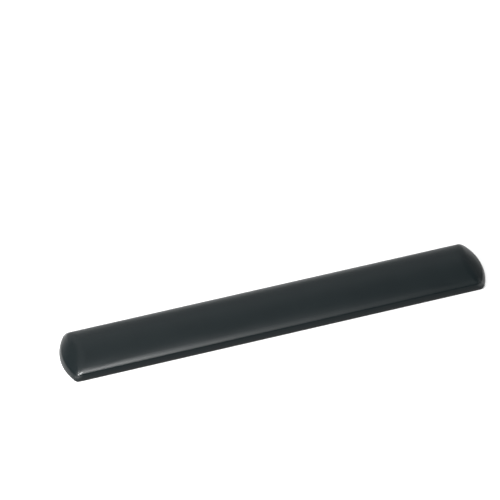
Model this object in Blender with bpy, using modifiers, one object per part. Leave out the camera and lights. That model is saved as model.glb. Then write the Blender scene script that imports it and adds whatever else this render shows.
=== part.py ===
"""A wrist rest for a keyboard: a gel pad on a stiff plate, wrapped in leatherette.

Metres, +Z up. The origin is the middle of the underside, +X runs along the
length, and +Y points away from the user, towards the keyboard. The pieces lie
on each other like the layers of a sandwich, with a small gap where two touch.
"""
import math

import bmesh
import bpy

# Driving dimensions of the finished rest
LENGTH = 0.457
WIDTH = 0.067
HEIGHT = 0.019
END_BOW = 0.0095  # how far the middle of each end stands out past its corners
CORNER_RADIUS = 0.006  # in plan
CREASE_START = 0.0087  # height where the wall starts to roll over into the top
CREASE_RADIUS = 0.0025
BOTTOM_EDGE_RADIUS = 0.0009

# Thicknesses of the layers, and the gap between them
GAP = 0.0003
BASE_THICKNESS = 0.0015
COVER_THICKNESS = 0.0009
PLATE_THICKNESS = 0.0020
GEL_TAPE_THICKNESS = 0.0002
FILM_THICKNESS = 0.0003

# How far inside the cover's wall each flat layer ends
BASE_INSET = 0.0012
HEM_WIDTH = 0.0100
BASE_TAPE_INSET = HEM_WIDTH + 0.0006
PLATE_INSET = COVER_THICKNESS + 2 * GAP
GEL_TAPE_INSET = 0.0040
PLATE_EDGE_RADIUS = 0.0005

# Undersides of the layers, from the desk upwards
HEM_BOTTOM = BASE_THICKNESS + GAP
PLATE_BOTTOM = HEM_BOTTOM + COVER_THICKNESS + GAP
GEL_TAPE_BOTTOM = PLATE_BOTTOM + PLATE_THICKNESS + GAP
LOWER_FILM_BOTTOM = GEL_TAPE_BOTTOM + GEL_TAPE_THICKNESS + GAP
GEL_BOTTOM = LOWER_FILM_BOTTOM + FILM_THICKNESS + GAP

# How deep the inner skins lie under the cover's outer surface
UPPER_FILM_DEPTH = COVER_THICKNESS + GAP
GEL_DEPTH = UPPER_FILM_DEPTH + FILM_THICKNESS + GAP

# The section is a run of arcs from the bottom edge to the crown. An angle is how
# far above level the outward normal points; an arc is drawn in this many steps.
WALL_START = math.radians(-6)  # along the sides the wall bulges
WALL_END = math.radians(14)
END_WALL_START = math.radians(8)  # across the ends the wall leans in
END_WALL_END = math.radians(38)
CREASE_END, CREASE_STEPS = math.radians(50), 3
SHOULDER_END, SHOULDER_STEPS = math.radians(66), 2
CROWN_END, CROWN_STEPS = math.radians(90), 3

END_ROLL = 0.024  # how far from the ends the top reaches its full height

# Steps along a side, round a corner and across an end
CAGE_STEPS = (4, 3, 6)
SHEET_STEPS = (1, 6, 12)


def outline(side_inset, end_inset, corner_radius, steps):
    """A plan outline moved in by its insets, counter-clockwise from the middle of the right end."""
    side_steps, corner_steps, end_steps = steps
    half_width = WIDTH / 2 - side_inset
    full_end_radius = ((WIDTH / 2) ** 2 + END_BOW ** 2) / (2 * END_BOW)
    end_radius = full_end_radius - end_inset
    end_centre = LENGTH / 2 - full_end_radius
    corner_y = half_width - corner_radius
    corner_x = end_centre + math.sqrt((end_radius - corner_radius) ** 2 - corner_y ** 2)
    corner_start = math.atan2(corner_y, corner_x - end_centre)

    quarter = []
    for i in range(end_steps // 2):
        angle = corner_start * i / (end_steps // 2)
        quarter.append((end_centre + end_radius * math.cos(angle), end_radius * math.sin(angle)))
    for i in range(corner_steps + 1):
        angle = corner_start + (math.pi / 2 - corner_start) * i / corner_steps
        quarter.append((corner_x + corner_radius * math.cos(angle), corner_y + corner_radius * math.sin(angle)))
    back_side = [(corner_x * (1 - 2 * i / side_steps), half_width) for i in range(1, side_steps)]

    back = quarter + back_side + [(-x, y) for x, y in reversed(quarter)]
    front = [(x, -y) for x, y in reversed(back[1:-1])]
    return back + front


def level_outline(inset, steps, lean=0.0):
    """The rest's outline, moved in by an inset all round, and by a lean as well at the ends."""
    return outline(inset, inset + lean, max(CORNER_RADIUS - inset, CORNER_RADIUS / 3), steps)


def dome_outline(side_inset, end_inset, dome_inset, steps):
    """A contour of the dome, which starts at dome_inset: its corners are half circles at the crown."""
    half_width = WIDTH / 2 - side_inset
    dome_half_width = WIDTH / 2 - dome_inset
    lowest_share = (CORNER_RADIUS - dome_inset) / dome_half_width
    corner_share = 1 - (1 - lowest_share) * half_width / dome_half_width
    return outline(side_inset, end_inset, half_width * corner_share, steps)


def run_of_arcs(bottom, radii, angles):
    """Arcs that follow each other without a kink, as (centre inset, centre height, radius, first, last)."""
    inset, height = bottom
    arcs = []
    for radius, first, last in zip(radii, angles, angles[1:]):
        arcs.append((inset + radius * math.cos(first), height - radius * math.sin(first), radius, first, last))
        inset, height = point_on(arcs[-1], last)
    return arcs


def point_on(arc, angle, depth=0.0):
    """The (inset, height) of an arc's point, depth under the outer surface."""
    centre_in, centre_up, radius, _, _ = arc
    return centre_in - (radius - depth) * math.cos(angle), centre_up + (radius - depth) * math.sin(angle)


def section_arcs(reach, wall_start, wall_end):
    """The wall, the crease, the shoulder and the crown.

    The last two radii are the ones that take the section to full height at a
    reach inside the outline.
    """
    wall_bottom = HEM_BOTTOM + BOTTOM_EDGE_RADIUS
    wall_radius = (CREASE_START - wall_bottom) / (math.sin(wall_end) - math.sin(wall_start))
    bottom = (wall_radius * (1 - math.cos(wall_start)), wall_bottom)
    radii = (wall_radius, CREASE_RADIUS)
    angles = (wall_start, wall_end, CREASE_END)
    crease_in, crease_top = point_on(run_of_arcs(bottom, radii, angles)[-1], CREASE_END)
    rest_in = reach - crease_in
    rest_up = HEIGHT - crease_top
    shoulder_in = math.cos(CREASE_END) - math.cos(SHOULDER_END)
    shoulder_up = math.sin(SHOULDER_END) - math.sin(CREASE_END)
    crown_in = math.cos(SHOULDER_END) - math.cos(CROWN_END)
    crown_up = math.sin(CROWN_END) - math.sin(SHOULDER_END)
    divisor = shoulder_in * crown_up - shoulder_up * crown_in
    shoulder_radius = (rest_in * crown_up - rest_up * crown_in) / divisor
    crown_radius = (shoulder_in * rest_up - shoulder_up * rest_in) / divisor
    return run_of_arcs(bottom, radii + (shoulder_radius, crown_radius), angles + (SHOULDER_END, CROWN_END))


def side_arcs():
    """The section across the rest: its wall bulges a little."""
    return section_arcs(WIDTH / 2, WALL_START, WALL_END)


def end_arcs():
    """The section along the rest's middle: its wall leans in."""
    return section_arcs(END_ROLL, END_WALL_START, END_WALL_END)


def inset_at(arcs, height, depth):
    """How far inside the outline a run of arcs passes a height."""
    for arc in arcs:
        _, centre_up, radius, _, last = arc
        angle = math.asin(min(1.0, (height - centre_up) / (radius - depth)))
        if angle < last:
            break
    return point_on(arc, angle, depth)[0]


def end_lean(height, depth=0.0):
    """How much further in a surface stands at the ends than at the sides."""
    return max(0.0, inset_at(end_arcs(), height, depth) - inset_at(side_arcs(), height, depth))


def arc_points(arc, steps, depth):
    """Points along an arc after its first one, depth under the outer surface."""
    _, _, _, first, last = arc
    return [point_on(arc, first + (last - first) * i / steps, depth) for i in range(1, steps + 1)]


def wall_inset(height, depth):
    """How far inside the outline the wall stands along a side."""
    return inset_at(side_arcs()[:1], height, depth)


def domed_object(name, lower_section, depth, closed_below=False):
    """A cage of rings: the lower section, the crease and the dome, softened into one surface."""
    wall, crease, shoulder, crown = side_arcs()
    low = lower_section + [point_on(wall, WALL_END, depth)] + arc_points(crease, CREASE_STEPS, depth)
    dome_inset = low[-1][0]
    rings = [(level_outline(inset, CAGE_STEPS, end_lean(height, depth)), height) for inset, height in low]
    if closed_below:
        rings.insert(0, (dome_outline(WIDTH / 2, WIDTH / 2, dome_inset, CAGE_STEPS), rings[0][1]))
    for inset, height in arc_points(shoulder, SHOULDER_STEPS, depth) + arc_points(crown, CROWN_STEPS, depth):
        end_inset = inset_at(end_arcs(), height, depth)
        rings.append((dome_outline(inset, end_inset, dome_inset, CAGE_STEPS), height))

    cage = bmesh.new()
    loops = [[cage.verts.new((x, y, height)) for x, y in ring] for ring, height in rings]
    for lower, upper in zip(loops, loops[1:]):
        for i, corner in enumerate(lower):
            j = (i + 1) % len(lower)
            cage.faces.new((corner, lower[j], upper[j], upper[i]))
    bmesh.ops.remove_doubles(cage, verts=cage.verts, dist=1e-6)
    bmesh.ops.recalc_face_normals(cage, faces=cage.faces)
    mesh = bpy.data.meshes.new(name)
    cage.to_mesh(mesh)
    cage.free()
    mesh.shade_smooth()

    obj = bpy.data.objects.new(name, mesh)
    soften = obj.modifiers.new("soften", "SUBSURF")
    soften.levels = 1
    soften.render_levels = 1
    return obj


def thicken(obj, thickness):
    """Gives an open skin its thickness, on its inner side."""
    modifier = obj.modifiers.new("thickness", "SOLIDIFY")
    modifier.thickness = thickness
    modifier.offset = -1.0
    modifier.use_even_offset = True


def flat_sheet(name, inset, bottom, thickness, edge_radius=0.0, lean=0.0):
    """A sheet with the rest's plan outline, moved in by inset, and by lean as well at the ends."""
    curve = bpy.data.curves.new(name, "CURVE")
    curve.dimensions = "2D"
    curve.fill_mode = "BOTH"
    curve.extrude = thickness / 2 - edge_radius
    curve.bevel_depth = edge_radius
    curve.bevel_resolution = 1
    points = level_outline(inset + edge_radius, SHEET_STEPS, lean)
    spline = curve.splines.new("POLY")
    spline.points.add(len(points) - 1)
    for point, (x, y) in zip(spline.points, points):
        point.co = (x, y, 0.0, 1.0)
    spline.use_cyclic_u = True
    obj = bpy.data.objects.new(name, curve)
    obj.location.z = bottom + thickness / 2
    return obj


def leatherette_cover():
    """Over the top, down the walls and turned in under the plate as a hem."""
    wall_foot = point_on(side_arcs()[0], WALL_START)
    wall_middle = point_on(side_arcs()[0], (WALL_START + WALL_END) / 2)
    edge_in = BOTTOM_EDGE_RADIUS * (1 - math.cos(math.radians(45)))
    lower_section = [
        (HEM_WIDTH, HEM_BOTTOM),
        (3 * BOTTOM_EDGE_RADIUS, HEM_BOTTOM),
        (BOTTOM_EDGE_RADIUS + wall_foot[0], HEM_BOTTOM),
        (edge_in + wall_foot[0], HEM_BOTTOM + edge_in),
        wall_foot,
        wall_middle,
    ]
    cover = domed_object("leatherette_cover", lower_section, 0.0)
    thicken(cover, COVER_THICKNESS)
    return cover


def upper_gel_film():
    """The skin over the gel, sealed to the lower film round its rim."""
    rim = wall_inset(GEL_BOTTOM, UPPER_FILM_DEPTH)
    film = domed_object("upper_gel_film", [(rim, GEL_BOTTOM)], UPPER_FILM_DEPTH)
    thicken(film, FILM_THICKNESS)
    return film


def gel_core():
    """The gel itself, flat where it lies on the plate and domed above."""
    edge = wall_inset(GEL_BOTTOM, GEL_DEPTH)
    lower_section = [
        (edge + 2 * BOTTOM_EDGE_RADIUS, GEL_BOTTOM),
        (edge + BOTTOM_EDGE_RADIUS / 4, GEL_BOTTOM),
        (edge, GEL_BOTTOM + BOTTOM_EDGE_RADIUS / 4),
    ]
    return domed_object("gel_core", lower_section, GEL_DEPTH, closed_below=True)


def lower_gel_film():
    inset = wall_inset(GEL_BOTTOM, UPPER_FILM_DEPTH) + GAP
    lean = end_lean(GEL_BOTTOM, UPPER_FILM_DEPTH)
    return flat_sheet("lower_gel_film", inset, LOWER_FILM_BOTTOM, FILM_THICKNESS, lean=lean)


def gel_tape():
    """Double-sided tape that holds the gel pad on the plate."""
    lean = end_lean(LOWER_FILM_BOTTOM, UPPER_FILM_DEPTH)
    return flat_sheet("gel_tape", GEL_TAPE_INSET, GEL_TAPE_BOTTOM, GEL_TAPE_THICKNESS, lean=lean)


def base_plate():
    """The stiff plate that the cover is pulled round and glued to."""
    lean = end_lean(GEL_TAPE_BOTTOM, PLATE_INSET)
    return flat_sheet("base_plate", PLATE_INSET, PLATE_BOTTOM, PLATE_THICKNESS, PLATE_EDGE_RADIUS, lean)


def base_tape():
    """Double-sided foam tape inside the hem, as thick as the hem, for the non-skid base."""
    return flat_sheet("base_tape", BASE_TAPE_INSET, HEM_BOTTOM, COVER_THICKNESS)


def non_skid_base():
    """The rubber sheet that stands on the desk and covers the hem."""
    return flat_sheet("non_skid_base", BASE_INSET, 0.0, BASE_THICKNESS)


def new_material(name, colour, roughness, transmission=0.0):
    material = bpy.data.materials.new(name)
    material.use_nodes = True
    shader = material.node_tree.nodes["Principled BSDF"]
    shader.inputs["Base Color"].default_value = (*colour, 1.0)
    shader.inputs["Roughness"].default_value = roughness
    shader.inputs["Metallic"].default_value = 0.0
    shader.inputs["Transmission Weight"].default_value = transmission
    material.diffuse_color = (*colour, 1.0)
    return material


def main():
    for obj in list(bpy.data.objects):
        bpy.data.objects.remove(obj, do_unlink=True)

    leatherette = new_material("leatherette", (0.014, 0.021, 0.023), 0.42)
    film = new_material("clear_film", (0.80, 0.82, 0.80), 0.20, transmission=0.9)
    gel = new_material("gel", (0.45, 0.50, 0.50), 0.15, transmission=0.8)
    tape = new_material("white_tape", (0.70, 0.69, 0.65), 0.60)
    plate = new_material("black_plastic", (0.020, 0.020, 0.021), 0.45)
    rubber = new_material("black_rubber", (0.012, 0.012, 0.012), 0.85)

    collection = bpy.data.collections.new("wrist_rest")
    bpy.context.scene.collection.children.link(collection)
    root = bpy.data.objects.new("wrist_rest", None)
    collection.objects.link(root)

    pieces = (
        (non_skid_base(), rubber),
        (base_tape(), tape),
        (leatherette_cover(), leatherette),
        (base_plate(), plate),
        (gel_tape(), tape),
        (lower_gel_film(), film),
        (gel_core(), gel),
        (upper_gel_film(), film),
    )
    for obj, material in pieces:
        obj.data.materials.append(material)
        obj.parent = root
        collection.objects.link(obj)


main()
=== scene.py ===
"""The looks of the wrist rest: leatherette over a gel pad, on a pale studio floor.

Metres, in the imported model's frame: +X along the length, +Y towards the
keyboard, +Z up, and the floor at z = 0.
"""
import math

import bmesh
import bpy
import numpy as np
from mathutils import Matrix, Vector
from mathutils import noise as mathutils_noise


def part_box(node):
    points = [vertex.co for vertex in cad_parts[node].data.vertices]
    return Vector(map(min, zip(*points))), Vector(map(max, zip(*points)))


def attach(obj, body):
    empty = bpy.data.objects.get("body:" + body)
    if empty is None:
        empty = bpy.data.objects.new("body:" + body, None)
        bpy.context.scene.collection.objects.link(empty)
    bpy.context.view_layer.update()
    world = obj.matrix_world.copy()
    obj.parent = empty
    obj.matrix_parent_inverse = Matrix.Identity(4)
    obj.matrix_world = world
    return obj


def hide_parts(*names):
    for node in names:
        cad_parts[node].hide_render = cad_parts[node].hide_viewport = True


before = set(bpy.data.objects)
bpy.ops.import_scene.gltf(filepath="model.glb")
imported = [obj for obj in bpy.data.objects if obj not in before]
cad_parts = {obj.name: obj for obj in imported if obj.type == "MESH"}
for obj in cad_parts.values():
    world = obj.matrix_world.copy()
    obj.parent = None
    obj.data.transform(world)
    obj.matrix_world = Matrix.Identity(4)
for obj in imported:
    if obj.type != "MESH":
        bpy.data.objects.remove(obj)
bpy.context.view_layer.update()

MM = 0.001

# Sizes of the rest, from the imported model
COVER_LOW, COVER_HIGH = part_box("leatherette_cover")
BASE_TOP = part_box("non_skid_base")[1].z
LENGTH = COVER_HIGH.x - COVER_LOW.x
WIDTH = COVER_HIGH.y - COVER_LOW.y
HEIGHT = COVER_HIGH.z
HEM_BOTTOM = COVER_LOW.z

# The cover's shape
END_BOW = 9.5 * MM  # how far the middle of each end stands out past its corners
END_RADIUS = ((WIDTH / 2) ** 2 + END_BOW ** 2) / (2 * END_BOW)
CORNER_RADIUS = 6.0 * MM
BOTTOM_EDGE_RADIUS = 0.9 * MM
WALL_START = math.radians(-6)  # the wall bulges: it leans out at the bottom and in at the top
WALL_END = math.radians(14)
END_WALL_START = math.radians(8)  # the wall across an end leans in
END_WALL_END = math.radians(38)
CREASE_START = 8.7 * MM  # the height where the wall starts to roll over into the top
CREASE_RADIUS = 2.5 * MM
CREASE_END = math.radians(50)
SHOULDER_END = math.radians(66)
CROWN_END = math.radians(90)
END_ROLL = 24 * MM  # how far from the ends the top reaches its full height
COVER_THICKNESS = 0.9 * MM
HEM_WIDTH = 10 * MM
HEM_SHARES = (1.0, 0.98, 0.8, 0.6, 0.4, 0.25, 0.16, 0.11)  # where its rings are, inner edge first
BOTTOM_EDGE_STEPS = 4
BASE_INSET = 1.2 * MM
FILM_THICKNESS = 0.3 * MM
GEL_EDGE = 0.3 * MM  # how far the edge of the gel's underside is rounded

# Steps along a side, round a corner and across an end
COVER_STEPS = (90, 12, 20)
BASE_STEPS = (90, 8, 20)
PAD_STEPS = (60, 8, 16)

# Steps up the wall, round the crease and over the shoulder and the crown; the pad has its crease first
COVER_ARC_STEPS = (5, 8, 8, 12)
PAD_ARC_STEPS = (5, 5, 8)

# Softness
CLOTH_FRAMES = 16
SWELL = 0.35 * MM  # the furthest the gel pushes a point of the skin out
SWELL_START = 10.5 * MM  # the skin starts to come free at this height, and is free SWELL_RISE higher
SWELL_RISE = 4.0 * MM
GLUE_TOP = CREASE_START - 1.5 * MM  # the skin is glued down below this height
UNEVENNESS = 0.05 * MM
UNEVEN_LENGTH = 38 * MM  # the size of its swells along the rest and across it
UNEVEN_WIDTH = 16 * MM
UNEVEN_SLICE = 4.0  # another number gives another pattern

# The wrinkles low at the corners, where the skin is pulled round
WRINKLE = 0.12 * MM
WRINKLE_REACH = 11 * MM
WRINKLE_HEIGHT = 4.5 * MM
WRINKLE_CENTRE = 9 * MM  # how far inside the corner the point is that they fan out from
WRINKLE_WAVES = 26  # in a full turn round that point

# The rubber base: a lip round its underside, and studs inside the lip
STUD_PITCH = 5.0 * MM
STUD_RADIUS = 1.3 * MM
STUD_TOP_SHARE = 0.8  # the radius of a stud's flat top, as a share of the stud's
STUD_HEIGHT = 0.4 * MM
STUD_SIDES = 10
LIP_WIDTH = 1.0 * MM
RUBBER_EDGE = 0.15 * MM  # how far the rubber's edges are rounded
SHARP_ANGLE = math.radians(40)  # its edges that turn by more look crisp

# The leatherette: its grain, its shine with a faint coat, and where its corners are worn smoother
LEATHER_DARK = (0.0014, 0.0036, 0.0043)
LEATHER_LIGHT = (0.0019, 0.0044, 0.0051)
PEBBLES = 950.0  # pebbles and pores to the metre
PORES = 4200.0
PEBBLE_DEPTH = 0.06 * MM
PEBBLE_BEND = 0.6 * MM  # how far the pebbles' edges wander
PORE_DEPTH = 0.02 * MM
LEATHER_ROUGHNESS = (0.34, 0.37)
PIT_ROUGHNESS = 0.05  # added in the pits between the pebbles
WALL_SHINE = 0.14
DOME_SHINE = 0.20
SHINE_START = CREASE_START - 0.2 * MM  # the heights where the wall's shine starts to become the dome's
SHINE_FULL = CREASE_START + 1.6 * MM
SHEEN = 0.035
SHEEN_ROUGHNESS = 0.16
POLISH = 0.9
POLISH_ROUGHNESS = 0.30
POLISH_CENTRE = (LENGTH / 2 - END_BOW - 3 * MM, WIDTH / 2 - 2 * MM, CREASE_START + 1 * MM)
POLISH_FULL = 2 * MM  # the polish is whole up to this distance from its centre, and gone at POLISH_END
POLISH_END = 5.5 * MM

# The tints of the see-through pieces
GEL_TINT = (0.62, 0.68, 0.70)
FILM_TINT = (0.86, 0.88, 0.86)

# The studio: a strip lamp for the long highlight, and two small ones for the glints at the left end
LEFT_END = (-0.22, -0.03, 0.015)
KEY_PLACE = (-0.32, -0.71, 1.55)
KEY_AIM = (-0.15, -0.03, 0.015)
KEY_SIZE = (0.72, 0.18)
KEY_POWER = 42.0
SPARK_PLACE = (-1.16, -0.25, 1.47)
SPARK_SIZE = (0.12, 0.12)
SPARK_POWER = 9.0
CORNER_PLACE = (-1.215, -0.684, 1.228)
CORNER_SIZE = (0.1, 0.1)
CORNER_POWER = 32.0
FLOOR_SIZE = 12.0
FLOOR_GREY = 0.40
NEAR = 0.2  # the floor glows by NEAR_GLOW up to this distance from the rest's middle
NEAR_GLOW = 0.36
FAR = 1.2  # and by FAR_GLOW from this one on
FAR_GLOW = 0.95
LEFT_START = -0.21  # Past the rest's left end the floor glows brighter still, a painted pool of light for the end wall to reflect: it starts at LEFT_START and is whole from LEFT_FULL on
LEFT_FULL = -0.26
LEFT_LIGHT_POOL = 2.4

CAMERA_ELEVATION = math.radians(42.14)
CAMERA_AZIMUTH = math.radians(-12.62)
CAMERA_ROLL = math.radians(-4.08)
CAMERA_DISTANCE = 2.608
CAMERA_LENS = 180.55  # millimetres, as is the sensor's width
CAMERA_SENSOR = 36.0
ORIGIN_IN_VIEW = (0.02516, -0.06725)  # metres from the view's middle to the rest's, right and up


def outline(side_inset, end_inset, corner_radius, steps):
    """A plan outline moved in by its insets, counter-clockwise from the middle of the right end."""
    side_steps, corner_steps, end_steps = steps
    half_width = WIDTH / 2 - side_inset
    end_radius = END_RADIUS - end_inset
    end_centre = LENGTH / 2 - END_RADIUS
    corner_y = half_width - corner_radius
    corner_x = end_centre + math.sqrt((end_radius - corner_radius) ** 2 - corner_y ** 2)
    corner_start = math.atan2(corner_y, corner_x - end_centre)

    quarter = []
    for i in range(end_steps // 2):
        angle = corner_start * i / (end_steps // 2)
        quarter.append((end_centre + end_radius * math.cos(angle), end_radius * math.sin(angle)))
    for i in range(corner_steps + 1):
        angle = corner_start + (math.pi / 2 - corner_start) * i / corner_steps
        quarter.append(
            (corner_x + corner_radius * math.cos(angle), corner_y + corner_radius * math.sin(angle))
        )
    back_side = [(corner_x * (1 - 2 * i / side_steps), half_width) for i in range(1, side_steps)]
    back = quarter + back_side + [(-x, y) for x, y in reversed(quarter)]
    return np.array(back + [(x, -y) for x, y in reversed(back[1:-1])])


def level_outline(inset, steps, lean=0.0):
    """The rest's outline, moved in by an inset all round, and by a lean as well at the ends."""
    return outline(inset, inset + lean, max(CORNER_RADIUS - inset, CORNER_RADIUS / 3), steps)


def dome_outline(side_inset, end_inset, dome_inset, steps):
    """A contour of the dome, which starts at dome_inset: its corners are half circles at the crown."""
    half_width = WIDTH / 2 - side_inset
    dome_half_width = WIDTH / 2 - dome_inset
    lowest_share = (CORNER_RADIUS - dome_inset) / dome_half_width
    corner_share = 1 - (1 - lowest_share) * half_width / dome_half_width
    return outline(side_inset, end_inset, half_width * corner_share, steps)


def run_of_arcs(bottom, radii, angles):
    """Arcs that follow each other without a kink, as (centre inset, centre height, radius, first, last)."""
    inset, height = bottom
    arcs = []
    for radius, first, last in zip(radii, angles, angles[1:]):
        centre_in = inset + radius * math.cos(first)
        centre_up = height - radius * math.sin(first)
        arcs.append((centre_in, centre_up, radius, first, last))
        inset, height = point_on(arcs[-1], last)
    return arcs


def point_on(arc, angle, depth=0.0):
    """The (inset, height) of an arc's point, depth under the outer surface."""
    centre_in, centre_up, radius, _, _ = arc
    return centre_in - (radius - depth) * math.cos(angle), centre_up + (radius - depth) * math.sin(angle)


def section_arcs(reach, wall_start, wall_end):
    """The wall, the crease, the shoulder and the crown.

    The last two radii are the ones that take the section to full height at a
    reach inside the outline.
    """
    wall_bottom = HEM_BOTTOM + BOTTOM_EDGE_RADIUS
    wall_radius = (CREASE_START - wall_bottom) / (math.sin(wall_end) - math.sin(wall_start))
    bottom = (wall_radius * (1 - math.cos(wall_start)), wall_bottom)
    radii = (wall_radius, CREASE_RADIUS)
    angles = (wall_start, wall_end, CREASE_END)
    crease_in, crease_top = point_on(run_of_arcs(bottom, radii, angles)[-1], CREASE_END)
    rest_in = reach - crease_in
    rest_up = HEIGHT - crease_top
    shoulder_in = math.cos(CREASE_END) - math.cos(SHOULDER_END)
    shoulder_up = math.sin(SHOULDER_END) - math.sin(CREASE_END)
    crown_in = math.cos(SHOULDER_END) - math.cos(CROWN_END)
    crown_up = math.sin(CROWN_END) - math.sin(SHOULDER_END)
    divisor = shoulder_in * crown_up - shoulder_up * crown_in
    shoulder_radius = (rest_in * crown_up - rest_up * crown_in) / divisor
    crown_radius = (shoulder_in * rest_up - shoulder_up * rest_in) / divisor
    return run_of_arcs(bottom, radii + (shoulder_radius, crown_radius), angles + (SHOULDER_END, CROWN_END))


def side_arcs():
    """The section across the rest: its wall bulges a little."""
    return section_arcs(WIDTH / 2, WALL_START, WALL_END)


def end_arcs():
    """The section along the rest's middle: its wall leans in."""
    return section_arcs(END_ROLL, END_WALL_START, END_WALL_END)


def inset_at(arcs, height, depth):
    """How far inside the outline a run of arcs passes a height."""
    for arc in arcs:
        _, centre_up, radius, _, last = arc
        angle = math.asin(min(1.0, (height - centre_up) / (radius - depth)))
        if angle < last:
            break
    return point_on(arc, angle, depth)[0]


def end_lean(height, depth):
    """How much further in a surface stands at the ends than at the sides."""
    return max(0.0, inset_at(end_arcs(), height, depth) - inset_at(side_arcs(), height, depth))


def arc_points(arc, steps, depth):
    """Points along an arc after its first one, depth under the outer surface."""
    _, _, _, first, last = arc
    return [point_on(arc, first + (last - first) * i / steps, depth) for i in range(1, steps + 1)]


def level_rings(section, ring_steps, depth):
    """The rings below the dome, through a section's (inset, height) points."""
    rings = []
    for inset, height in section:
        lean = end_lean(height, depth)
        rings.append(with_height(level_outline(inset, ring_steps, lean), height))
    return rings


def dome_rings(dome_inset, depth, ring_steps, arc_steps):
    """The rings of the shoulder and the crown, depth under the outer surface."""
    rings = []
    for arc, steps in zip(side_arcs()[2:], arc_steps):
        for inset, height in arc_points(arc, steps, depth):
            end_inset = inset_at(end_arcs(), height, depth)
            rings.append(with_height(dome_outline(inset, end_inset, dome_inset, ring_steps), height))
    return rings


def scene_object(name, data):
    """A new object in the scene."""
    obj = bpy.data.objects.new(name, data)
    bpy.context.scene.collection.objects.link(obj)
    return obj


def lofted(name, rings):
    """A mesh through rings of equal length, each an array of (x, y, z), closed round each ring."""
    count = len(rings[0])
    verts = np.concatenate(rings)
    faces = []
    for start in range(0, count * (len(rings) - 1), count):
        for i in range(count):
            j = (i + 1) % count
            faces.append((start + i, start + j, start + count + j, start + count + i))
    mesh = bpy.data.meshes.new(name)
    mesh.from_pydata(verts.tolist(), [], faces)
    cage = bmesh.new()
    cage.from_mesh(mesh)
    bmesh.ops.remove_doubles(cage, verts=cage.verts, dist=1e-6)
    bmesh.ops.recalc_face_normals(cage, faces=cage.faces)
    cage.to_mesh(mesh)
    cage.free()
    mesh.shade_smooth()
    return scene_object(name, mesh)


def with_height(ring, height):
    """A plan outline as a level ring of (x, y, z)."""
    return np.column_stack([ring, np.full(len(ring), height)])


def cover_rings():
    """From the hem's inner edge outwards, round the bottom edge, up the wall and over the top."""
    wall_steps, crease_steps, *dome_steps = COVER_ARC_STEPS
    wall, crease, _, _ = side_arcs()
    foot_in, _ = point_on(wall, WALL_START)
    hem = [(foot_in + HEM_WIDTH * share, HEM_BOTTOM) for share in HEM_SHARES]
    edge = []
    for i in range(BOTTOM_EDGE_STEPS):
        angle = math.pi / 2 * i / BOTTOM_EDGE_STEPS
        inset = foot_in + BOTTOM_EDGE_RADIUS * (1 - math.sin(angle))
        edge.append((inset, HEM_BOTTOM + BOTTOM_EDGE_RADIUS * (1 - math.cos(angle))))
    low = hem + edge + [point_on(wall, WALL_START)]
    low += arc_points(wall, wall_steps, 0.0) + arc_points(crease, crease_steps, 0.0)
    return level_rings(low, COVER_STEPS, 0.0) + dome_rings(low[-1][0], 0.0, COVER_STEPS, dome_steps)


def apply_modifiers(obj):
    """Makes the mesh that the modifiers give the object's own."""
    graph = bpy.context.evaluated_depsgraph_get()
    mesh = bpy.data.meshes.new_from_object(obj.evaluated_get(graph))
    old = obj.data
    obj.modifiers.clear()
    obj.data = mesh
    bpy.data.meshes.remove(old)


def places(mesh):
    """The (x, y, z) of each of a mesh's vertices."""
    flat = np.empty(len(mesh.vertices) * 3)
    mesh.vertices.foreach_get("co", flat)
    return flat.reshape(-1, 3)


def freedom(height):
    """How freely the skin moves at a height, from 0 on the wall to 1 on the dome."""
    return np.clip((height - SWELL_START) / SWELL_RISE, 0.0, 1.0)


def inflate(obj):
    """Lets the gel push the skin out: a short cloth run under pressure, scaled to the furthest swell."""
    skin = obj.data
    before = places(skin)
    held = obj.vertex_groups.new(name="held")
    held.add([int(i) for i in np.flatnonzero(before[:, 2] < GLUE_TOP)], 1.0, "REPLACE")

    cloth = obj.modifiers.new("cloth", "CLOTH")
    settings = cloth.settings
    settings.quality = 5
    settings.mass = 0.3
    settings.tension_stiffness = 60
    settings.compression_stiffness = 60
    settings.shear_stiffness = 30
    settings.bending_stiffness = 5
    settings.vertex_group_mass = "held"
    settings.use_pressure = True
    settings.uniform_pressure_force = 4.0
    settings.effector_weights.gravity = 0.0
    cloth.point_cache.frame_start = 1
    cloth.point_cache.frame_end = CLOTH_FRAMES
    for number in range(1, CLOTH_FRAMES + 1):
        bpy.context.scene.frame_set(number)
    way = places(obj.evaluated_get(bpy.context.evaluated_depsgraph_get()).to_mesh()) - before
    obj.to_mesh_clear()
    obj.modifiers.remove(cloth)
    bpy.context.scene.frame_set(1)

    free = freedom(before[:, 2:3])
    way *= free * free * (3 - 2 * free) * SWELL / np.linalg.norm(way, axis=1).max()
    skin.vertices.foreach_set("co", (before + way).ravel())


def soften_by_hand(obj):
    """The slight unevenness of a gel pad, and the wrinkles in the skin where a corner pulls it round."""
    corner_x = LENGTH / 2 - END_BOW
    corner_y = WIDTH / 2
    moved = []
    for vertex in obj.data.vertices:
        x, y, z = vertex.co
        ripple = mathutils_noise.noise(Vector((x / UNEVEN_LENGTH, y / UNEVEN_WIDTH, UNEVEN_SLICE)))
        push = UNEVENNESS * freedom(z) * ripple

        to_corner = math.hypot(abs(x) - corner_x, abs(y) - corner_y)
        near = max(0.0, 1 - to_corner / WRINKLE_REACH) ** 1.5
        low = max(0.0, 1 - abs(z - WRINKLE_HEIGHT) / WRINKLE_HEIGHT)
        around = math.atan2(abs(y) - corner_y + WRINKLE_CENTRE, abs(x) - corner_x + WRINKLE_CENTRE)
        shift = (1.0 if x > 0 else 2.3) + (0.7 if y > 0 else 0.0)  # so that no two corners are alike
        push += WRINKLE * near * low * math.sin(around * WRINKLE_WAVES + shift)
        moved.append(vertex.co + vertex.normal * push)
    for vertex, place in zip(obj.data.vertices, moved):
        vertex.co = place


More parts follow.
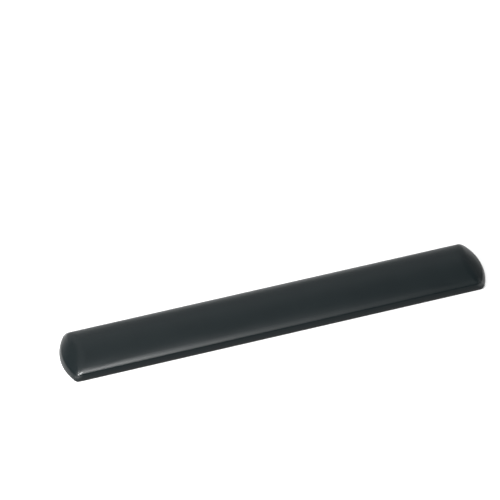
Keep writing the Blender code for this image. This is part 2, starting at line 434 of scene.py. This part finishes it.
def thicken(obj, thickness):
    """Gives an open skin its thickness, on its inner side."""
    modifier = obj.modifiers.new("thickness", "SOLIDIFY")
    modifier.thickness = thickness
    modifier.offset = -1.0
    apply_modifiers(obj)
    obj.data.shade_smooth()


def make_cover():
    """The leatherette: inflated by the gel, uneven and wrinkled, with a turned-in hem."""
    cover = lofted("cover", cover_rings())
    inflate(cover)
    soften_by_hand(cover)
    subdivide = cover.modifiers.new("subdivide", "SUBSURF")
    subdivide.levels = 1
    subdivide.render_levels = 1
    thicken(cover, COVER_THICKNESS)
    return cover


def make_base():
    """The rubber sheet: a narrow lip round its underside, and studs inside the lip."""
    rows = (
        (LIP_WIDTH + RUBBER_EDGE, STUD_HEIGHT),
        (LIP_WIDTH, 0.0),
        (RUBBER_EDGE, 0.0),
        (0.0, RUBBER_EDGE),
        (0.0, BASE_TOP - RUBBER_EDGE),
        (RUBBER_EDGE, BASE_TOP),
    )
    base = bmesh.new()
    loops = []
    for inset, height in rows:
        ring = level_outline(BASE_INSET + inset, BASE_STEPS)
        loops.append([base.verts.new((x, y, height)) for x, y in ring])
    bridge(base, loops)
    base.faces.new(loops[-1])

    rims = [loops[0]]
    row_pitch = STUD_PITCH * math.sin(math.radians(60))  # a triangular grid
    across = int(WIDTH / 2 / row_pitch)
    along = int(LENGTH / 2 / STUD_PITCH) + 1
    for row in range(-across, across + 1):
        for column in range(-along, along + 1):
            x = (column + 0.5 * (row % 2)) * STUD_PITCH
            y = row * row_pitch
            if inside(x, y, BASE_INSET + LIP_WIDTH + 2 * STUD_RADIUS):
                rims.append(add_stud(base, x, y))
    # The underside, between the lip and the studs
    rim_edges = [base.edges.get((rim[i - 1], rim[i])) for rim in rims for i in range(len(rim))]
    bmesh.ops.triangle_fill(base, edges=rim_edges, normal=(0, 0, -1), use_beauty=True)
    bmesh.ops.recalc_face_normals(base, faces=base.faces)
    mesh = bpy.data.meshes.new("base")
    base.to_mesh(mesh)
    base.free()
    mesh.shade_smooth()
    mesh.set_sharp_from_angle(angle=SHARP_ANGLE)
    return scene_object("base", mesh)


def bridge(surface, loops):
    """Joins each loop of vertices to the next with quads."""
    for lower, upper in zip(loops, loops[1:]):
        for i, corner in enumerate(lower):
            j = (i + 1) % len(lower)
            surface.faces.new((corner, lower[j], upper[j], upper[i]))


def inside(x, y, inset):
    """Whether a point is at least inset inside the rest's outline."""
    past_end_centre = max(0.0, abs(x) - (LENGTH / 2 - END_RADIUS))
    return abs(y) < WIDTH / 2 - inset and math.hypot(past_end_centre, y) < END_RADIUS - inset


def add_stud(base, x, y):
    """A low round stud, its flat top on the desk. Gives its upper rim, where the sheet starts."""
    rows = (
        (STUD_RADIUS, STUD_HEIGHT),
        (STUD_RADIUS, RUBBER_EDGE),
        (STUD_TOP_SHARE * STUD_RADIUS, 0.0),
    )
    loops = []
    for radius, height in rows:
        loop = []
        for i in range(STUD_SIDES):
            angle = 2 * math.pi * i / STUD_SIDES
            place = (x + radius * math.cos(angle), y + radius * math.sin(angle), height)
            loop.append(base.verts.new(place))
        loops.append(loop)
    bridge(base, loops)
    base.faces.new(loops[-1])
    return loops[0]


def pad_rings(depth, bottom):
    """The gel pad's outer skin, depth under the cover's surface, from its bottom up."""
    crease_steps, *dome_steps = PAD_ARC_STEPS
    wall, crease, _, _ = side_arcs()
    low = [(inset_at(side_arcs(), bottom, depth), bottom), point_on(wall, WALL_END, depth)]
    low += arc_points(crease, crease_steps, depth)
    return level_rings(low, PAD_STEPS, depth) + dome_rings(low[-1][0], depth, PAD_STEPS, dome_steps)


def make_gel():
    """The gel: flat below, with a rounded edge, and domed above."""
    low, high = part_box("gel_core")
    depth = HEIGHT - high.z
    edge_top = low.z + GEL_EDGE
    foot_inset = inset_at(side_arcs(), edge_top, depth)
    middle = dome_outline(WIDTH / 2, WIDTH / 2, foot_inset, PAD_STEPS)
    foot = level_outline(foot_inset + GEL_EDGE, PAD_STEPS, end_lean(edge_top, depth))
    underside = [with_height(middle, low.z), with_height(foot, low.z)]
    return lofted("gel", underside + pad_rings(depth, edge_top))


def make_upper_film():
    """The film over the gel, down to its welded rim."""
    low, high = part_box("upper_gel_film")
    film = lofted("upper_film", pad_rings(HEIGHT - high.z, low.z))
    thicken(film, FILM_THICKNESS)
    return film


# ---- materials ----------------------------------------------------------


class Nodes:
    """A material's node tree, with short ways to add and link nodes."""

    def __init__(self, name):
        self.material = bpy.data.materials.new(name)
        self.material.use_nodes = True
        self.tree = self.material.node_tree
        self.shader = self.tree.nodes["Principled BSDF"]

    def add(self, kind, links=(), **values):
        """A new node: its links as (input, source socket), its other inputs and settings by name."""
        node = self.tree.nodes.new(kind)
        for key, value in values.items():
            if key in node.inputs:
                node.inputs[key].default_value = value
            else:
                setattr(node, key, value)
        for socket, source in links:
            self.tree.links.new(source, node.inputs[socket])
        return node

    def link(self, source, socket):
        """Feeds an input of the material's shader."""
        self.tree.links.new(source, self.shader.inputs[socket])


def ranged(node, first, last, low, high):
    """A Map Range node's result: low where its value is first, and high where it is last."""
    for name, value in (("From Min", first), ("From Max", last), ("To Min", low), ("To Max", high)):
        node.inputs[name].default_value = value
    return node.outputs["Result"]


def ramp_between(nodes, source, first, last, low, high):
    """Goes from low to high as the source goes from first to last."""
    return ranged(nodes.add("ShaderNodeMapRange", [("Value", source)]), first, last, low, high)


def tinted(nodes, source, dark, light):
    """A colour between dark and light, where source goes from 0.3 to 0.7."""
    ramp = nodes.add("ShaderNodeValToRGB", [("Fac", source)])
    ramp.color_ramp.elements[0].position = 0.3
    ramp.color_ramp.elements[1].position = 0.7
    ramp.color_ramp.elements[0].color = (*dark, 1)
    ramp.color_ramp.elements[1].color = (*light, 1)
    return ramp.outputs["Color"]


def noise(nodes, where, scale, detail=3.0):
    """Cloudy noise from 0 to 1, its scale in clouds to the metre."""
    return nodes.add("ShaderNodeTexNoise", [("Vector", where)], Scale=scale, Detail=detail).outputs["Fac"]


def bumped(nodes, height, strength, distance, normal=None, invert=False):
    """The surface's normal, or another bump's, roughened by a height of 0 to 1."""
    links = [("Height", height)] + ([("Normal", normal)] if normal else [])
    bump = nodes.add("ShaderNodeBump", links, invert=invert)
    bump.inputs["Strength"].default_value = strength
    bump.inputs["Distance"].default_value = distance
    return bump.outputs["Normal"]


def leatherette_material():
    """Black leatherette: pebbled, with fine pores, shinier on the dome and worn smooth at the corners."""
    nodes = Nodes("leatherette")
    where = nodes.add("ShaderNodeTexCoord").outputs["Object"]
    wobble = nodes.add("ShaderNodeTexNoise", [("Vector", where)], Scale=700.0, Detail=2.0).outputs["Color"]
    bend = nodes.add("ShaderNodeVectorMath", [(0, wobble)], operation="SCALE", Scale=PEBBLE_BEND).outputs[0]
    bent = nodes.add("ShaderNodeVectorMath", [(0, where), (1, bend)], operation="ADD").outputs[0]
    cells = nodes.add("ShaderNodeTexVoronoi", [("Vector", bent)], feature="SMOOTH_F1", Scale=PEBBLES)
    pebbles = cells.outputs["Distance"]
    pores = bumped(nodes, noise(nodes, where, PORES), 0.25, PORE_DEPTH)
    nodes.link(bumped(nodes, pebbles, 0.5, PEBBLE_DEPTH, pores, invert=True), "Normal")

    nodes.link(tinted(nodes, noise(nodes, where, 45.0), LEATHER_DARK, LEATHER_LIGHT), "Base Color")
    height = nodes.add("ShaderNodeSeparateXYZ", [("Vector", where)]).outputs["Z"]
    shine = ramp_between(nodes, height, SHINE_START, SHINE_FULL, WALL_SHINE, DOME_SHINE)
    nodes.link(shine, "Specular IOR Level")
    worn = ramp_between(nodes, noise(nodes, where, 22.0), 0.3, 0.7, *LEATHER_ROUGHNESS)
    pits = ramp_between(nodes, pebbles, 0.3, 0.9, 0.0, PIT_ROUGHNESS)
    rough = nodes.add("ShaderNodeMath", [(0, worn), (1, pits)], operation="ADD").outputs["Value"]
    nodes.link(rough, "Roughness")

    # The four corners folded onto one, so that one distance serves them all
    folded = nodes.add("ShaderNodeVectorMath", [(0, where)], operation="ABSOLUTE").outputs[0]
    corner = nodes.add("ShaderNodeVectorMath", [(0, folded)], operation="DISTANCE")
    corner.inputs[1].default_value = POLISH_CENTRE
    for socket, at_corner, elsewhere in (
        ("Coat Weight", POLISH, SHEEN),
        ("Coat Roughness", POLISH_ROUGHNESS, SHEEN_ROUGHNESS),
    ):
        distance = corner.outputs["Value"]
        nodes.link(ramp_between(nodes, distance, POLISH_FULL, POLISH_END, at_corner, elsewhere), socket)
    nodes.shader.inputs["Coat IOR"].default_value = 1.45
    return nodes.material


def rubber_material():
    """Dull black rubber, a little chalky in places."""
    nodes = Nodes("rubber")
    where = nodes.add("ShaderNodeTexCoord").outputs["Object"]
    chalk = noise(nodes, where, 60.0, 6.0)
    nodes.link(tinted(nodes, chalk, (0.006, 0.006, 0.006), (0.014, 0.014, 0.013)), "Base Color")
    nodes.link(ramp_between(nodes, chalk, 0.3, 0.7, 0.68, 0.88), "Roughness")
    nodes.link(bumped(nodes, noise(nodes, where, 2600.0), 0.4, 0.03 * MM), "Normal")
    nodes.shader.inputs["Specular IOR Level"].default_value = 0.3
    return nodes.material


def plastic_material():
    """Moulded black plastic with a spark-eroded finish."""
    nodes = Nodes("plastic")
    where = nodes.add("ShaderNodeTexCoord").outputs["Object"]
    cloudy = noise(nodes, where, 30.0)
    nodes.link(tinted(nodes, cloudy, (0.016, 0.016, 0.017), (0.024, 0.024, 0.025)), "Base Color")
    nodes.link(ramp_between(nodes, cloudy, 0.3, 0.7, 0.38, 0.50), "Roughness")
    nodes.link(bumped(nodes, noise(nodes, where, 3500.0, 2.0), 0.5, 0.02 * MM), "Normal")
    return nodes.material


def tape_material():
    """White foam tape, with small open cells."""
    nodes = Nodes("tape")
    where = nodes.add("ShaderNodeTexCoord").outputs["Object"]
    cells = nodes.add("ShaderNodeTexVoronoi", [("Vector", where)], Scale=1500.0).outputs["Distance"]
    yellowed = noise(nodes, where, 80.0)
    nodes.link(tinted(nodes, yellowed, (0.60, 0.58, 0.52), (0.74, 0.73, 0.69)), "Base Color")
    nodes.link(ramp_between(nodes, cells, 0.0, 0.8, 0.75, 0.5), "Roughness")
    nodes.link(bumped(nodes, cells, 0.5, 0.05 * MM), "Normal")
    nodes.shader.inputs["Subsurface Weight"].default_value = 0.2
    nodes.shader.inputs["Subsurface Scale"].default_value = 0.5 * MM
    return nodes.material


def clear_material(name, tint, roughness, ripple_scale, ripple):
    """A clear soft plastic, slightly uneven."""
    nodes = Nodes(name)
    where = nodes.add("ShaderNodeTexCoord").outputs["Object"]
    cloudy = noise(nodes, where, ripple_scale)
    nodes.link(tinted(nodes, cloudy, [0.9 * channel for channel in tint], tint), "Base Color")
    nodes.link(ramp_between(nodes, cloudy, 0.3, 0.7, roughness, 1.6 * roughness), "Roughness")
    nodes.link(bumped(nodes, cloudy, 0.5, ripple), "Normal")
    nodes.shader.inputs["Transmission Weight"].default_value = 0.85
    nodes.shader.inputs["IOR"].default_value = 1.42
    return nodes.material


def set_material(obj, material):
    """Gives an object one material in place of any it has."""
    obj.data.materials.clear()
    obj.data.materials.append(material)


# ---- the studio -----------------------------------------------------------


def make_floor():
    """A pale floor that glows a little, more so away from the rest, as a lit studio sweep does, and far
    more past the rest's left end: a painted pool of light there, which the left end's wall reflects.
    """
    bpy.ops.mesh.primitive_plane_add(size=FLOOR_SIZE)
    floor = bpy.context.object
    floor.name = "floor"
    nodes = Nodes("pale_floor")
    nodes.shader.inputs["Base Color"].default_value = (FLOOR_GREY, FLOOR_GREY, FLOOR_GREY, 1)
    nodes.shader.inputs["Roughness"].default_value = 0.7
    nodes.shader.inputs["Specular IOR Level"].default_value = 0.2
    nodes.shader.inputs["Emission Color"].default_value = (1, 1, 1, 1)
    where = nodes.add("ShaderNodeTexCoord").outputs["Object"]
    distance = nodes.add("ShaderNodeVectorMath", [(0, where)], operation="LENGTH").outputs["Value"]
    glow = ramp_between(nodes, distance, NEAR, FAR, NEAR_GLOW, FAR_GLOW)
    along = nodes.add("ShaderNodeSeparateXYZ", [("Vector", where)]).outputs["X"]
    # Painted light: a bright pool on the floor past the rest's left end, for the end wall to reflect
    left_pool = ramp_between(nodes, along, LEFT_START, LEFT_FULL, 0.0, LEFT_LIGHT_POOL)
    total = nodes.add("ShaderNodeMath", [(0, glow), (1, left_pool)], operation="ADD").outputs["Value"]
    nodes.link(total, "Emission Strength")
    set_material(floor, nodes.material)


def area_light(name, place, aim, size, power):
    """A rectangular lamp that faces the point it is aimed at."""
    data = bpy.data.lights.new(name, "AREA")
    data.shape = "RECTANGLE"
    data.size, data.size_y = size
    data.energy = power
    light = scene_object(name, data)
    light.location = place
    light.rotation_euler = (Vector(aim) - Vector(place)).to_track_quat("-Z", "Y").to_euler()


def make_world():
    """A pale studio: brightest high up behind the rest, with a faint band along the horizon.

    It is dimmer overhead on the right, and a low fill comes from both sides in front.
    """
    world = bpy.data.worlds.new("studio")
    bpy.context.scene.world = world
    world.use_nodes = True
    tree = world.node_tree
    where = tree.nodes.new("ShaderNodeTexCoord")
    split = tree.nodes.new("ShaderNodeSeparateXYZ")
    tree.links.new(where.outputs["Generated"], split.inputs[0])

    def ramp(axis, first, last, low, high):
        """Eases from low to high as the direction's coordinate goes from first to last."""
        node = tree.nodes.new("ShaderNodeMapRange")
        node.interpolation_type = "SMOOTHSTEP"
        tree.links.new(split.outputs[axis], node.inputs["Value"])
        return ranged(node, first, last, low, high)

    def combine(operation, first, *others):
        """The levels joined one after another, by multiplying them or by another operation."""
        for other in others:
            node = tree.nodes.new("ShaderNodeMath")
            node.operation = operation
            tree.links.new(first, node.inputs[0])
            tree.links.new(other, node.inputs[1])
            first = node.outputs["Value"]
        return first

    behind = ramp("Y", -0.5, 0.4, 0.12, 1.42)
    middle = combine("MULTIPLY", ramp("X", -0.5, -0.05, 0.5, 1.0), ramp("X", 0.0, 0.38, 1.0, 0.5))
    above = ramp("Z", 0.0, 0.80, 0.22, 1.15)
    sky = combine("MULTIPLY", behind, middle, above)
    overhead = combine("MULTIPLY", ramp("X", 0.05, 0.27, 0.0, 0.62), ramp("Z", 0.6, 0.85, 0.0, 1.0))
    sky = combine("SUBTRACT", sky, combine("MULTIPLY", sky, overhead))
    horizon = ramp("Z", 0.0, 0.16, 0.3, 0.0)
    side = combine("MAXIMUM", ramp("X", 0.3, 0.6, 0.0, 0.6), ramp("X", -0.3, -0.6, 0.0, 0.6))
    fill = combine("MULTIPLY", side, ramp("Y", 0.0, -0.4, 0.0, 1.0))
    background = tree.nodes["Background"]
    background.inputs["Color"].default_value = (0.97, 0.99, 1.0, 1)
    tree.links.new(combine("MAXIMUM", sky, horizon, fill), background.inputs["Strength"])


def make_camera():
    """The photo's camera: turned and rolled about the rest, which stands off the middle of its view."""
    data = bpy.data.cameras.new("camera")
    data.lens = CAMERA_LENS
    data.sensor_width = CAMERA_SENSOR
    camera = scene_object("camera", data)
    turn = Matrix.Rotation(CAMERA_AZIMUTH, 3, "Z") @ Matrix.Rotation(math.pi / 2 - CAMERA_ELEVATION, 3, "X")
    turn = turn @ Matrix.Rotation(CAMERA_ROLL, 3, "Z")
    place = -(turn @ Vector((*ORIGIN_IN_VIEW, -CAMERA_DISTANCE)))
    camera.matrix_world = Matrix.Translation(place) @ turn.to_4x4()
    bpy.context.scene.camera = camera


def main():
    """Builds the studio and the pieces."""
    bpy.context.scene.view_settings.view_transform = "Standard"
    make_camera()
    make_world()
    make_floor()
    area_light("key", KEY_PLACE, KEY_AIM, KEY_SIZE, KEY_POWER)
    area_light("spark", SPARK_PLACE, LEFT_END, SPARK_SIZE, SPARK_POWER)
    area_light("corner", CORNER_PLACE, LEFT_END, CORNER_SIZE, CORNER_POWER)

    gel = clear_material("gel", GEL_TINT, 0.10, 35.0, 0.2 * MM)
    film = clear_material("film", FILM_TINT, 0.12, 60.0, 0.1 * MM)
    tape = tape_material()
    pieces = (
        (make_cover(), "leatherette_cover", "leatherette", leatherette_material()),
        (make_base(), "non_skid_base", "rubber", rubber_material()),
        (make_gel(), "gel_core", "gel", gel),
        (make_upper_film(), "upper_gel_film", "film", film),
    )
    for piece, node, slot, material in pieces:
        set_material(piece, material)
        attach(piece, "root")
        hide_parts(node)
    set_material(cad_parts["base_plate"], plastic_material())
    set_material(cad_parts["base_tape"], tape)
    set_material(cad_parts["gel_tape"], tape)
    set_material(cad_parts["lower_gel_film"], film)

    bpy.context.view_layer.update()


main()
